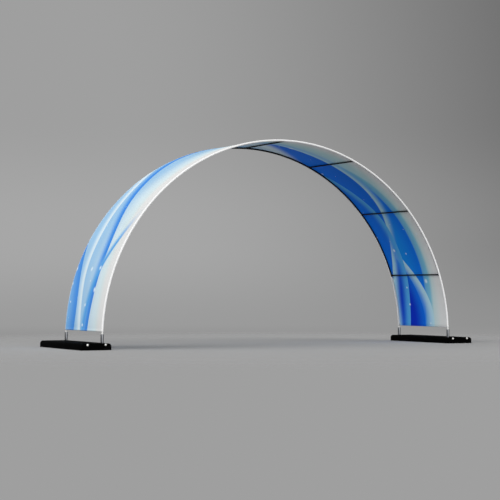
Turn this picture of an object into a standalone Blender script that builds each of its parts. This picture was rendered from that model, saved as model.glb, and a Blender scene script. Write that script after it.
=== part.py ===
"""Fabric event arch with tube frame.

A printed stretch cloth is pulled over two half-round tube hoops that stand in
sockets on two long ballast bases. Metres, +Z up. The origin is on the floor,
midway between the bases and midway between the hoops. X runs across the
walkway and Y runs through it, with the front hoop at -Y.
"""

import math

import bmesh
import bpy
from mathutils import Matrix

# Driving dimensions
HOOP_RADIUS = 3.0          # centre line of the hoop tube
HOOP_SPACING = 1.41        # front hoop to rear hoop, centre to centre
SPRING_HEIGHT = 0.131      # centre of the half circle above the floor
TUBE_RADIUS = 0.0125
CROWN_FLAT = 0.008         # straight end of each half hoop, so the ends meet square
FIT_GAP = 0.0003           # between pieces that touch

RIGHT_BAR_ANGLES = (18.9, 41.3, 65.7)   # degrees up from the right foot
CROWN_BAR_ANGLE = 89.3                  # just beside the joint of the hoop halves
BAR_RADIUS = 0.010
BAR_RISE = 0.001           # bar's centre line above the hoop's, so its back sits near the cloth
END_BLOCK_ALONG = 0.034    # along the hoop
END_BLOCK_ACROSS = 0.0225  # from inside to outside of the arch
END_BLOCK_DEPTH = 0.026    # along the bar
END_BLOCK_HUG = 0.0045     # how far the block reaches round the tube
END_BLOCK_EDGE = 0.002

CLOTH_THICKNESS = 0.0015
CASING_RADIUS = 0.01385    # middle of the cloth where it rolls round the tube
CASING_END_ANGLE = 112.5   # 0 faces out of the open end of the arch, 90 faces the ground
CASING_STEP_ANGLE = 22.5
HEM_HEIGHT = 0.128         # lower edge of the cloth above the springing
PANEL_COLUMNS = 8
BAY_SAG = 0.008            # the cloth draws in between bars by this much
SHEET_STEP_ANGLE = 4.1     # longest step along the arch

TAPE_WIDTH = 0.023
TAPE_THICKNESS = 0.002
TAPE_BAR_CLEARANCE = 0.003

BASE_THICKNESS = 0.097
BASE_OUTER_REACH = 0.368   # beyond the hoop, away from the walkway
BASE_INNER_REACH = 0.089   # beyond the hoop, into the walkway
BASE_END_REACH = 0.131     # beyond each hoop, along the walkway
BASE_EDGE_RADIUS = 0.045
BASE_END_BEVEL = 0.003

POST_RADIUS = 0.0235
POST_TOP = 0.223           # above the floor
POST_FLOOR = 0.010         # solid foot under the socket
SOCKET_RADIUS = 0.015
POST_RIM = 0.002

BOLT_RADIUS = 0.016
BOLT_FLANGE = 0.003
BOLT_RISE = 0.018
BOLT_HEIGHT = 0.078
BOLT_OFFSET = 0.137        # either side of the middle of the base's end

TUBE_BEVEL_RESOLUTION = 4
BAR_SIDES = 12
POST_SEGMENTS = 24
BOLT_SEGMENTS = 14
DOME_STEPS = 4
ROUND_EDGE_SEGMENTS = 5
BEVEL_SEGMENTS = 2
SMOOTH_ANGLE = math.radians(35)
MERGE_DISTANCE = 0.00001

CLOTH_COLOUR = (0.30, 0.52, 0.80)
TAPE_COLOUR = (0.02, 0.02, 0.022)
TUBE_COLOUR = (0.86, 0.86, 0.86)
BAR_COLOUR = (0.03, 0.03, 0.035)
CHROME_COLOUR = (0.75, 0.76, 0.78)
BASE_COLOUR = (0.015, 0.015, 0.015)

SIDES = {"right": 1, "left": -1}
ENDS = {"front": -1, "rear": 1}


def clear_scene():
    for item in list(bpy.data.objects):
        bpy.data.objects.remove(item, do_unlink=True)


def new_collection(name):
    collection = bpy.data.collections.new(name)
    bpy.context.scene.collection.children.link(collection)
    return collection


def new_material(name, colour, roughness, metallic=0.0):
    material = bpy.data.materials.new(name)
    material.use_nodes = True
    shader = material.node_tree.nodes["Principled BSDF"]
    shader.inputs["Base Color"].default_value = (*colour, 1.0)
    shader.inputs["Roughness"].default_value = roughness
    shader.inputs["Metallic"].default_value = metallic
    return material


def add_object(name, data, collection, material=None):
    item = bpy.data.objects.new(name, data)
    collection.objects.link(item)
    if material is not None:
        data.materials.append(material)
    return item


def mesh_from(bm, name, smooth=False):
    mesh = bpy.data.meshes.new(name)
    bm.to_mesh(mesh)
    bm.free()
    if smooth:
        mesh.shade_smooth()
        mesh.set_sharp_from_angle(angle=SMOOTH_ANGLE)
    return mesh


def bar_angles():
    mirrored = [180.0 - angle for angle in reversed(RIGHT_BAR_ANGLES)]
    return [*RIGHT_BAR_ANGLES, CROWN_BAR_ANGLE, *mirrored]


def hem_angle():
    return math.degrees(math.asin(HEM_HEIGHT / (HOOP_RADIUS + CASING_RADIUS)))


def angles_between(low, high):
    """Angles from low to high that stop at every station, in steps of at most SHEET_STEP_ANGLE."""
    stops = [low] + [station for station in stations() if low < station < high] + [high]
    angles = [low]
    for start, end in zip(stops, stops[1:]):
        count = math.ceil((end - start) / SHEET_STEP_ANGLE)
        angles += [start + (end - start) * step / count for step in range(1, count + 1)]
    return angles


def stations():
    """The angles at which the hoops, the cloth and the tapes all have a row of points."""
    return sorted([hem_angle(), *bar_angles(), 90.0, 180.0 - hem_angle()])


def on_arch(angle, radius, y):
    """A point at an angle up from the right springing, measured from the middle of the half circle."""
    turn = math.radians(angle)
    return (radius * math.cos(turn), y, radius * math.sin(turn))


def tube_curve(name, points, radius):
    curve = bpy.data.curves.new(name, "CURVE")
    curve.dimensions = "3D"
    curve.bevel_depth = radius
    curve.bevel_resolution = TUBE_BEVEL_RESOLUTION
    curve.use_fill_caps = True
    spline = curve.splines.new("POLY")
    spline.points.add(len(points) - 1)
    for target, point in zip(spline.points, points):
        target.co = (*point, 1.0)
    spline.use_smooth = True
    return curve


def hoop_foot():
    """The hoop's foot, below the springing, just clear of the socket's floor."""
    return BASE_THICKNESS + FIT_GAP + POST_FLOOR + FIT_GAP - SPRING_HEIGHT


def half_hoop_points(side):
    """One half hoop from its foot to the crown, as points about the middle of the half circle."""
    crown = 90.0 - math.degrees(CROWN_FLAT / HOOP_RADIUS)
    if side > 0:
        angles = angles_between(0.0, crown)
    else:
        angles = list(reversed(angles_between(180.0 - crown, 180.0)))
    foot = (side * HOOP_RADIUS, 0.0, hoop_foot())
    joint = (side * FIT_GAP / 2, 0.0, HOOP_RADIUS)
    return [foot] + [on_arch(angle, HOOP_RADIUS, 0.0) for angle in angles] + [joint]


def make_hoops(collection, material):
    for end, end_sign in ENDS.items():
        for side, side_sign in SIDES.items():
            name = f"hoop_{end}_{side}"
            curve = tube_curve(name, half_hoop_points(side_sign), TUBE_RADIUS)
            hoop = add_object(name, curve, collection, material)
            hoop.location = (0.0, end_sign * HOOP_SPACING / 2, SPRING_HEIGHT)


def make_hoop_cutters(collection):
    """Whole hoops, a fit gap fatter than the tube, that shape the bars' end blocks."""
    cutters = []
    for end, end_sign in ENDS.items():
        angles = angles_between(0.0, 180.0)
        points = [on_arch(angle, HOOP_RADIUS, 0.0) for angle in angles]
        curve = tube_curve(f"cutter_hoop_{end}", points, TUBE_RADIUS + FIT_GAP)
        guide = add_object(f"guide_hoop_{end}", curve, collection)
        guide.location = (0.0, end_sign * HOOP_SPACING / 2, SPRING_HEIGHT)
        cutters.append(curve_to_cutter(guide, f"cutter_hoop_{end}", collection))
    return cutters


def curve_to_cutter(curve_object, name, collection):
    """A mesh copy of a curve with its caps welded; the curve is removed."""
    bpy.context.view_layer.update()
    evaluated = curve_object.evaluated_get(bpy.context.evaluated_depsgraph_get())
    mesh = bpy.data.meshes.new_from_object(evaluated)
    bm = bmesh.new()
    bm.from_mesh(mesh)
    bmesh.ops.remove_doubles(bm, verts=bm.verts, dist=MERGE_DISTANCE)
    bm.to_mesh(mesh)
    bm.free()
    item = add_object(name, mesh, collection)
    item.matrix_world = curve_object.matrix_world
    bpy.data.objects.remove(curve_object, do_unlink=True)
    hide_cutter(item)
    return item


def hide_cutter(item):
    item.hide_render = True
    item.display_type = "WIRE"


def end_block_mesh():
    bm = bmesh.new()
    bmesh.ops.create_cube(bm, size=1.0)
    bmesh.ops.scale(bm, vec=(END_BLOCK_ACROSS, END_BLOCK_DEPTH, END_BLOCK_ALONG), verts=bm.verts)
    bmesh.ops.bevel(bm, geom=bm.edges[:], offset=END_BLOCK_EDGE, segments=1, affect="EDGES")
    return mesh_from(bm, "end_block")


def bar_mesh():
    length = HOOP_SPACING - 2 * (TUBE_RADIUS + END_BLOCK_DEPTH / 2)
    bm = bmesh.new()
    bmesh.ops.create_cone(bm, cap_ends=True, segments=BAR_SIDES,
                          radius1=BAR_RADIUS, radius2=BAR_RADIUS, depth=length)
    bmesh.ops.rotate(bm, verts=bm.verts, matrix=Matrix.Rotation(math.pi / 2, 3, "X"))
    return mesh_from(bm, "cross_bar", smooth=True)


def add_boolean(item, operation, operand):
    modifier = item.modifiers.new(f"{operation.lower()}_{operand.name}", "BOOLEAN")
    modifier.operation = operation
    modifier.solver = "EXACT"
    modifier.object = operand


def make_bars(collection, cutter_collection, material, hoop_cutters):
    bar_shape = bar_mesh()
    bar_shape.materials.append(material)
    block_shape = end_block_mesh()
    block_reach = HOOP_SPACING / 2 - TUBE_RADIUS + END_BLOCK_HUG - END_BLOCK_DEPTH / 2
    for number, angle in enumerate(bar_angles(), start=1):
        x, _, z = on_arch(angle, HOOP_RADIUS + BAR_RISE, 0.0)
        turn = (0.0, -math.radians(angle), 0.0)
        bar = add_object(f"cross_bar_{number}", bar_shape, collection)
        bar.location = (x, 0.0, SPRING_HEIGHT + z)
        bar.rotation_euler = turn
        for end, end_sign in ENDS.items():
            block_radius = HOOP_RADIUS + BAR_RISE + BAR_RADIUS - END_BLOCK_ACROSS / 2
            block_x, _, block_z = on_arch(angle, block_radius, 0.0)
            block = add_object(f"block_{number}_{end}", block_shape, cutter_collection)
            block.location = (block_x, end_sign * block_reach, SPRING_HEIGHT + block_z)
            block.rotation_euler = turn
            hide_cutter(block)
            add_boolean(bar, "UNION", block)
        for cutter in hoop_cutters:
            add_boolean(bar, "DIFFERENCE", cutter)


def bay_sag(angle):
    """How far the cloth draws in at an angle: nothing over a bar, most midway between two."""
    stops = [0.0, *bar_angles(), 180.0]
    for start, end in zip(stops, stops[1:]):
        if start <= angle <= end:
            return BAY_SAG * math.sin(math.pi * (angle - start) / (end - start)) ** 2
    return 0.0


def cloth_profile():
    """The cover's cross-section from casing edge to casing edge, as (y, outward, panel share)."""
    steps = round((CASING_END_ANGLE + 90.0) / CASING_STEP_ANGLE)
    casing = []
    for step in range(steps + 1):
        turn = math.radians(CASING_END_ANGLE - step * CASING_STEP_ANGLE)
        casing.append((HOOP_SPACING / 2 + CASING_RADIUS * math.cos(turn), -CASING_RADIUS * math.sin(turn)))
    front = [(-y, outward, 0.0) for y, outward in casing]
    rear = [(y, outward, 0.0) for y, outward in reversed(casing)]
    panel = []
    for column in range(1, PANEL_COLUMNS):
        across = 2 * column / PANEL_COLUMNS - 1
        panel.append((across * HOOP_SPACING / 2, CASING_RADIUS, 1 - across ** 2))
    return front + panel + rear


def shape_grid(name, columns, rows, place, material):
    """An open sheet: a flat grid whose points are moved to place(column, row)."""
    bm = bmesh.new()
    bmesh.ops.create_grid(bm, x_segments=columns, y_segments=rows, size=0.5)
    for vert in bm.verts:
        column = round((vert.co.x + 0.5) * columns)
        row = round((vert.co.y + 0.5) * rows)
        vert.co = place(column, row)
    mesh = mesh_from(bm, name, smooth=True)
    mesh.materials.append(material)
    return mesh


def add_thickness(item, thickness):
    solidify = item.modifiers.new("thickness", "SOLIDIFY")
    solidify.thickness = thickness
    solidify.offset = 0.0
    solidify.use_even_offset = True


def make_cloth(collection, material):
    profile = cloth_profile()
    angles = angles_between(hem_angle(), 180.0 - hem_angle())

    def place(column, row):
        y, outward, share = profile[column]
        angle = angles[row]
        radius = HOOP_RADIUS + outward - share * bay_sag(angle)
        return on_arch(angle, radius, y)

    mesh = shape_grid("cloth_cover", len(profile) - 1, len(angles) - 1, place, material)
    cloth = add_object("cloth_cover", mesh, collection)
    cloth.location = (0.0, 0.0, SPRING_HEIGHT)
    add_thickness(cloth, CLOTH_THICKNESS)


def make_tapes(collection, material):
    inner = HOOP_RADIUS + BAR_RISE + BAR_RADIUS - TAPE_WIDTH
    radii = (inner, inner + TAPE_WIDTH)
    stop = math.degrees((END_BLOCK_ALONG / 2 + TAPE_BAR_CLEARANCE) / HOOP_RADIUS)
    limits = [hem_angle() - stop, *bar_angles(), 180.0 - hem_angle() + stop]
    for end, end_sign in ENDS.items():
        face = HOOP_SPACING / 2 - TUBE_RADIUS - FIT_GAP - TAPE_THICKNESS / 2
        for number, (start, finish) in enumerate(zip(limits, limits[1:]), start=1):
            angles = angles_between(start + stop, finish - stop)

            def place(column, row):
                return on_arch(angles[row], radii[column], 0.0)

            name = f"closing_tape_{end}_{number}"
            mesh = shape_grid(name, 1, len(angles) - 1, place, material)
            tape = add_object(name, mesh, collection)
            tape.location = (0.0, end_sign * face, SPRING_HEIGHT)
            add_thickness(tape, TAPE_THICKNESS)


def turned_object(name, profile, segments, collection, material):
    """A solid turned about Z from a profile that runs down its outer side."""
    bm = bmesh.new()
    verts = [bm.verts.new((radius, 0.0, height)) for radius, height in profile]
    for first, second in zip(verts, verts[1:]):
        bm.edges.new((first, second))
    mesh = mesh_from(bm, name)
    mesh.materials.append(material)
    item = add_object(name, mesh, collection)
    screw = item.modifiers.new("turn", "SCREW")
    screw.axis = "Z"
    screw.steps = segments
    screw.render_steps = segments
    screw.use_merge_vertices = True
    screw.merge_threshold = MERGE_DISTANCE
    return item


def make_posts(collection, material):
    height = POST_TOP - BASE_THICKNESS - FIT_GAP
    profile = [
        (0.0, POST_FLOOR),
        (SOCKET_RADIUS, POST_FLOOR),
        (SOCKET_RADIUS, height - POST_RIM),
        (SOCKET_RADIUS + POST_RIM, height),
        (POST_RADIUS - POST_RIM, height),
        (POST_RADIUS, height - POST_RIM),
        (POST_RADIUS, 0.0),
        (0.0, 0.0),
    ]
    for end, end_sign in ENDS.items():
        for side, side_sign in SIDES.items():
            post = turned_object(f"socket_post_{end}_{side}", profile, POST_SEGMENTS, collection, material)
            post.location = (side_sign * HOOP_RADIUS, end_sign * HOOP_SPACING / 2, BASE_THICKNESS + FIT_GAP)


def base_width():
    return BASE_OUTER_REACH + BASE_INNER_REACH


def base_length():
    return HOOP_SPACING + 2 * BASE_END_REACH


def base_middle():
    """How far the middle of a base lies from the middle of the walkway."""
    return HOOP_RADIUS + (BASE_OUTER_REACH - BASE_INNER_REACH) / 2


def make_bases(collection, material):
    bm = bmesh.new()
    bmesh.ops.create_cube(bm, size=1.0)
    bmesh.ops.translate(bm, verts=bm.verts, vec=(0.0, 0.0, 0.5))
    bmesh.ops.scale(bm, vec=(base_width(), base_length(), BASE_THICKNESS), verts=bm.verts)
    long_top = [edge for edge in bm.edges
                if all(vert.co.z > BASE_THICKNESS / 2 for vert in edge.verts)
                and abs(edge.verts[0].co.y - edge.verts[1].co.y) > base_length() / 2]
    bmesh.ops.bevel(bm, geom=long_top, offset=BASE_EDGE_RADIUS, offset_type="OFFSET",
                    segments=ROUND_EDGE_SEGMENTS, profile=0.5, affect="EDGES")
    end_rims = [edge for edge in bm.edges
                if all(abs(vert.co.y) > base_length() / 2 - FIT_GAP for vert in edge.verts)
                and edge.verts[0].co.y * edge.verts[1].co.y > 0
                and max(vert.co.z for vert in edge.verts) > FIT_GAP]
    bmesh.ops.bevel(bm, geom=end_rims, offset=BASE_END_BEVEL, offset_type="OFFSET",
                    segments=BEVEL_SEGMENTS, profile=0.5, affect="EDGES")
    mesh = mesh_from(bm, "base", smooth=True)
    mesh.materials.append(material)
    for side, side_sign in SIDES.items():
        base = add_object(f"base_{side}", mesh, collection)
        base.location = (side_sign * base_middle(), 0.0, 0.0)


def bolt_profile():
    dome = []
    for step in range(DOME_STEPS + 1):
        turn = math.pi / 2 * (1 - step / DOME_STEPS)
        height = BOLT_FLANGE + (BOLT_RISE - BOLT_FLANGE) * math.sin(turn)
        dome.append((BOLT_RADIUS * math.cos(turn), height))
    return [*dome, (BOLT_RADIUS, 0.0), (0.0, 0.0)]


def make_bolts(collection, material):
    for side, side_sign in SIDES.items():
        for end, end_sign in ENDS.items():
            for number, offset in enumerate((-BOLT_OFFSET, BOLT_OFFSET), start=1):
                name = f"base_bolt_{side}_{end}_{number}"
                bolt = turned_object(name, bolt_profile(), BOLT_SEGMENTS, collection, material)
                bolt.location = (
                    side_sign * base_middle() + offset,
                    end_sign * (base_length() / 2 + FIT_GAP),
                    BOLT_HEIGHT,
                )
                bolt.rotation_euler = (-end_sign * math.pi / 2, 0.0, 0.0)


def main():
    clear_scene()
    parts = new_collection("fabric_event_arch")
    cutters = new_collection("cutters")
    cloth = new_material("printed_stretch_cloth", CLOTH_COLOUR, roughness=0.75)
    tape = new_material("black_woven_tape", TAPE_COLOUR, roughness=0.8)
    white = new_material("white_coated_tube", TUBE_COLOUR, roughness=0.35)
    dark = new_material("dark_coated_bar", BAR_COLOUR, roughness=0.4)
    bright = new_material("bright_chrome", CHROME_COLOUR, roughness=0.12, metallic=1.0)
    black = new_material("black_base_coat", BASE_COLOUR, roughness=0.45)

    hoop_cutters = make_hoop_cutters(cutters)
    make_cloth(parts, cloth)
    make_tapes(parts, tape)
    make_hoops(parts, white)
    make_bars(parts, cutters, dark, hoop_cutters)
    make_posts(parts, bright)
    make_bases(parts, black)
    make_bolts(parts, bright)


main()
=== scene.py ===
"""Looks of the fabric event arch: a printed stretch cover over white hoops, on black bases.

Metres, +Z up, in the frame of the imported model: the floor is at Z = 0, X runs
across the walkway and Y runs through it, with the front hoop at -Y.
"""

import math

import bmesh
import bpy
from mathutils import Matrix, Vector


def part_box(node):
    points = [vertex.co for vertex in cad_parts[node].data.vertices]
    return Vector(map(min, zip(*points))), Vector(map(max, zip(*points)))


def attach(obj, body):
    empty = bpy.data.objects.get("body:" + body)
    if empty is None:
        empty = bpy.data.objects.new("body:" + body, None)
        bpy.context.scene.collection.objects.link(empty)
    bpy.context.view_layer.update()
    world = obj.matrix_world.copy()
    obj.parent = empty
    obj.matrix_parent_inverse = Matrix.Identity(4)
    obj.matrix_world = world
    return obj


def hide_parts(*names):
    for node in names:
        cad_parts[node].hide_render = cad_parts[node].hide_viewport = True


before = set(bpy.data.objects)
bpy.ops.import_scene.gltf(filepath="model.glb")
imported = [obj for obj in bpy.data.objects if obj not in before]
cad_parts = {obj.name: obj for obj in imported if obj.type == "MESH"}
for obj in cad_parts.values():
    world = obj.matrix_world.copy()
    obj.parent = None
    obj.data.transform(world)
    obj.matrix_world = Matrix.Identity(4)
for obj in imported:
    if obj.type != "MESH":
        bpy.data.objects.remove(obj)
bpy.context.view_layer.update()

# Places read from the frame
POST_LOW, POST_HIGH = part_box("socket_post_front_right")
REAR_POST_LOW, REAR_POST_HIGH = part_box("socket_post_rear_right")
HOOP_LOW, HOOP_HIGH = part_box("hoop_front_right")
COVER_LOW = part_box("cloth_cover")[0]

HOOP_RADIUS = (POST_LOW.x + POST_HIGH.x) / 2
HALF_SPACING = (REAR_POST_LOW.y + REAR_POST_HIGH.y) / 2
TUBE_RADIUS = (HOOP_HIGH.y - HOOP_LOW.y) / 2
SPRING_HEIGHT = HOOP_HIGH.z - TUBE_RADIUS - HOOP_RADIUS
HEM_HEIGHT = COVER_LOW.z - SPRING_HEIGHT
HOOP_FOOT = SPRING_HEIGHT - HOOP_LOW.z

ENDS, SIDES = ("front", "rear"), ("left", "right")
BARS = [f"cross_bar_{number}" for number in range(1, 8)]
HOOPS = [f"hoop_{end}_{side}" for end in ENDS for side in SIDES]
POSTS = [f"socket_post_{end}_{side}" for end in ENDS for side in SIDES]
BOLTS = [f"base_bolt_{side}_{end}_{number}" for side in SIDES for end in ENDS for number in (1, 2)]

# Cover
CASING_RADIUS = 0.01385     # middle of the cloth where it rolls round the tube
CASING_START = -90.0        # degrees round the tube: -90 is its outer side, where the panel leaves it,
CASING_END = 112.5          # 0 faces out of the arch's open end, and 90 faces the walkway
CASING_SWEEP = CASING_END - CASING_START
CASING_STEPS = 12
PANEL_COLUMNS = 36
CLOTH_THICKNESS = 0.0013
BAY_SAG = 0.008
ROW_PITCH = 0.020
HEM_BAND = 0.025            # doubled cloth at each lower edge
HEM_PLY = 0.0007
HEM_STEP = 2 * HEM_PLY      # the doubled cloth steps down over this length
PUCKER = 0.0007             # small gathers beside each casing's seam
PUCKER_WAVES = [            # the two waves that make the gathers uneven: height, length, phase
    (1.0, 0.115, 0.0),
    (0.6, 0.19895, 1.1),
]
PUCKER_REACH = 0.06         # the gathers die away over this distance from the seam
PUCKER_RISE = PUCKER_REACH / 3          # and stand free of it from this distance on

# Stitching
SEAM_INSET = 0.019          # stitched row beside each hoop
SEAM_STEPS = 640
HEM_SEAM_SHARE = 0.8        # the stitched row at each hem is this far up its band
HEM_SEAM_STEPS = 40
STITCH_PITCH = 0.009
STITCH_LENGTH = 0.006
STITCH_RADIUS = 0.00055

# Closing tape
TAPE_WIDTH = 0.023
TAPE_THICKNESS = 0.0018
TAPE_BAR_CLEARANCE = 0.003
TAPE_ROW_PITCH = 0.03
TAPE_COLUMNS = 4

# Frame pieces
FIT_GAP = 0.0003
BAR_RADIUS = 0.010
BAR_RISE = 0.001
BLOCK_ALONG = 0.034
BLOCK_ACROSS = 0.0225
BLOCK_DEPTH = 0.026
BLOCK_HUG = 0.0045
BLOCK_EDGE = 0.002
SOCKET_RADIUS = 0.015
SOCKET_FLOOR = 0.010
POST_RIM = 0.002
RIM_STEPS = 4
BOLT_FLANGE = 0.003
DOME_FULLNESS = 0.75        # 1 is a plain ellipse; less is fuller and flatter in front
DOME_STEPS = 16
BASE_ROUNDING = 0.045
BASE_RIM = 0.003

# Settings that many nodes share
SMOOTH = {"interpolation_type": "SMOOTHSTEP"}
COLOUR_MIX = {"data_type": "RGBA"}
VALUE_MIX = {"data_type": "FLOAT"}

# Inputs and output of a Mix node of colours, and the inputs of one of plain values
SHARE, UNDER, OVER, MIXED = 0, 6, 7, 2
VALUE_UNDER, VALUE_OVER = 2, 3

scene = bpy.context.scene


def srgb(code):
    """A hex colour as linear red, green, blue and alpha."""
    channels = [int(code[start:start + 2], 16) / 255 for start in (1, 3, 5)]
    linear = [c / 12.92 if c <= 0.04045 else ((c + 0.055) / 1.055) ** 2.4 for c in channels]
    return (*linear, 1.0)


def add(tree, kind, settings=None, links=None):
    """Adds a node with its settings, and returns its outputs.

    links gives its inputs, as sockets or values.
    """
    node = tree.nodes.new(kind)
    for name, value in (settings or {}).items():
        setattr(node, name, value)
    for key, value in (links or {}).items():
        if isinstance(value, bpy.types.NodeSocket):
            tree.links.new(value, node.inputs[key])
        else:
            node.inputs[key].default_value = value
    return node.outputs


# Materials

def new_material(name, finish):
    """A material of one Principled shader with its even values, and its node tree."""
    material = bpy.data.materials.new(name)
    material.use_nodes = True
    tree = material.node_tree
    for socket, value in finish.items():
        tree.nodes["Principled BSDF"].inputs[socket].default_value = value
    return material, tree


def feed_shader(tree, patterns):
    """Links patterns to the inputs of a material's Principled shader."""
    for socket, pattern in patterns.items():
        tree.links.new(pattern, tree.nodes["Principled BSDF"].inputs[socket])


# The waves of the print, from the first printed to the last. Each has an edge that runs along the arch,
# and is coloured on one side of it. rise and fall are the edge's places across the cloth, in metres from
# its middle towards the rear hoop, at start and end, in metres along the arch from the right foot. swing,
# length and phase are its sway. The colour goes from crest to trough over depth.
PRINT_WAVES = [
    dict(rise=-0.44, fall=-0.38, start=-1.0, end=10.4, swing=0.08, length=6.6, phase=2.4,
         side=1, depth=0.9, crest="#C6E6E8", trough="#8CC8F2", softness=0.2),
    dict(rise=-0.28, fall=0.90, start=2.7, end=5.5, swing=0.13, length=5.6, phase=2.9,
         side=1, depth=0.34, crest="#86CBE6", trough="#2A8CEA", softness=0.05),
    dict(rise=-0.12, fall=0.98, start=2.5, end=5.2, swing=0.13, length=5.0, phase=2.7,
         side=1, depth=0.46, crest="#067AF4", trough="#1092F4", softness=0.02),
    dict(rise=-0.20, fall=0.62, start=0.2, end=2.6, swing=0.13, length=2.7, phase=4.0,
         side=1, depth=0.34, crest="#BFE6F6", trough="#2F8CEE", softness=0.008, fades=True),
    dict(rise=0.06, fall=0.72, start=0.2, end=2.8, swing=0.13, length=2.9, phase=4.2,
         side=1, depth=0.30, crest="#0C6EEA", trough="#0230CA", softness=0.006),
    dict(rise=0.66, fall=-0.04, start=0.3, end=2.9, swing=0.08, length=3.0, phase=0.9,
         side=1, depth=0.62, crest="#0672EA", trough="#0A78F4", softness=0.006),
    dict(rise=0.70, fall=0.00, start=0.4, end=3.1, swing=0.08, length=3.2, phase=0.6,
         side=-1, depth=0.24, crest="#B4E0F2", trough="#4FA6F2", softness=0.012, fades=True),
    dict(rise=0.30, fall=0.98, start=1.8, end=4.6, swing=0.10, length=4.2, phase=2.2,
         side=1, depth=0.30, crest="#58B2F2", trough="#0F6CEC", softness=0.006, fades=True),
    dict(rise=1.10, fall=-0.46, start=2.5, end=6.0, swing=0.05, length=3.6, phase=1.4,
         side=1, depth=0.74, crest="#DDEEF4", trough="#A2CCEE", softness=0.16),
    dict(rise=0.92, fall=-0.18, start=3.9, end=8.6, swing=0.08, length=3.4, phase=2.0,
         side=1, depth=0.30, crest="#3D8CE8", trough="#6DB2F0", softness=0.006, fades=True),
    dict(rise=1.05, fall=0.16, start=4.5, end=9.0, swing=0.08, length=3.0, phase=3.0,
         side=1, depth=0.24, crest="#E4F3FA", trough="#A8D4F6", softness=0.008, fades=True),
    dict(rise=1.20, fall=0.40, start=5.4, end=9.4, swing=0.07, length=2.4, phase=0.4,
         side=1, depth=0.40, crest="#4792E8", trough="#86BFF0", softness=0.006),
    dict(rise=-1.00, fall=0.02, start=6.5, end=9.4, swing=0.03, length=2.6, phase=1.4,
         side=1, depth=0.20, crest="#52A4EC", trough="#90CAF0", softness=0.03, fades=True),
]
CLOTH_WHITE = "#FBFBFB"     # bare cloth, on the casings
MARGIN_GREY = "#EAEBEA"     # the print's palest grey, along the front hoop
MARGIN_START = -0.70
MARGIN_END = -0.40
FADE_START = 0.2            # share of a wave's depth past which one that fades grows thin
PRINT_EDGE = 0.006          # softness of the line where the print ends at a casing

LIGHT_SPACING = 0.30        # loose net that the print's soft round lights are scattered on
LIGHT_SHARE = 0.4           # share of the net's places that hold a light
LIGHT_SMALL = 0.012
LIGHT_LARGE = 0.065
SMALL_SHARE = 0.4           # share of the lights that have the smallest size

LOOP_WIDTH = 0.003          # a real wale is about 1 mm wide: drawn coarser, so that it shows close up
LOOP_HEIGHT = 0.0024
LOOP_RELIEF = 0.0003
LOOP_SWELL = 0.25           # how far a loop stands out, as a share of that relief
GAP_TOP = 0.15              # relief below which a place lies between loops
GAP_PALENESS = 0.01         # share of the gap's paler colour there
INK_DRIFT = 0.5             # the ink's tone drifts over about this length


def print_wave(tree, wave, along, across, under):
    """One wave laid over the colour under it."""
    fall = add(tree, "ShaderNodeMapRange", SMOOTH, {
        "Value": along, "From Min": wave["start"], "From Max": wave["end"],
        "To Min": wave["rise"], "To Max": wave["fall"]})[0]
    turn = add(tree, "ShaderNodeMath", {"operation": "MULTIPLY_ADD"}, {
        0: along, 1: math.tau / wave["length"], 2: wave["phase"]})[0]
    sway = add(tree, "ShaderNodeMath", {"operation": "SINE"}, {0: turn})[0]
    edge = add(tree, "ShaderNodeMath", {"operation": "MULTIPLY_ADD"}, {
        0: sway, 1: wave["swing"], 2: fall})[0]
    sides = (across, edge) if wave["side"] > 0 else (edge, across)
    past_edge = add(tree, "ShaderNodeMath", {"operation": "SUBTRACT"}, dict(enumerate(sides)))[0]
    cover = add(tree, "ShaderNodeMapRange", SMOOTH, {
        "Value": past_edge, "From Min": -wave["softness"], "From Max": wave["softness"]})[0]
    if wave.get("fades"):
        kept = add(tree, "ShaderNodeMapRange", SMOOTH, {
            "Value": past_edge, "From Min": FADE_START * wave["depth"], "From Max": wave["depth"],
            "To Min": 1.0, "To Max": 0.0})[0]
        cover = add(tree, "ShaderNodeMath", {"operation": "MULTIPLY"}, {0: cover, 1: kept})[0]
    depth = add(tree, "ShaderNodeMapRange", SMOOTH, {
        "Value": past_edge, "From Min": 0.0, "From Max": wave["depth"]})[0]
    tint = add(tree, "ShaderNodeMix", COLOUR_MIX, {
        SHARE: depth, UNDER: srgb(wave["crest"]), OVER: srgb(wave["trough"])})[MIXED]
    return add(tree, "ShaderNodeMix", COLOUR_MIX, {SHARE: cover, UNDER: under, OVER: tint})[MIXED]


def print_lights(tree, place, under):
    """Soft round lights scattered over the waves, of several sizes, with some places left empty."""
    cells = add(tree, "ShaderNodeTexVoronoi", {"voronoi_dimensions": "2D"}, {
        "Vector": place, "Scale": 1 / LIGHT_SPACING, "Randomness": 1.0})
    draws = add(tree, "ShaderNodeSeparateColor", {}, {"Color": cells["Color"]})
    reach = add(tree, "ShaderNodeMapRange", {}, {
        "Value": draws["Red"], "From Min": SMALL_SHARE,
        "To Min": LIGHT_SMALL / LIGHT_SPACING, "To Max": LIGHT_LARGE / LIGHT_SPACING})[0]
    glow = add(tree, "ShaderNodeMapRange", {"interpolation_type": "SMOOTHERSTEP"}, {
        "Value": cells["Distance"], "From Min": reach, "From Max": 0.0})[0]
    lit = add(tree, "ShaderNodeMath", {"operation": "LESS_THAN"}, {
        0: draws["Green"], 1: LIGHT_SHARE})[0]
    cover = add(tree, "ShaderNodeMath", {"operation": "MULTIPLY"}, {0: glow, 1: lit})[0]
    return add(tree, "ShaderNodeMix", COLOUR_MIX, {
        SHARE: cover, UNDER: under, OVER: srgb("#E4F4FF")})[MIXED]


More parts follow.
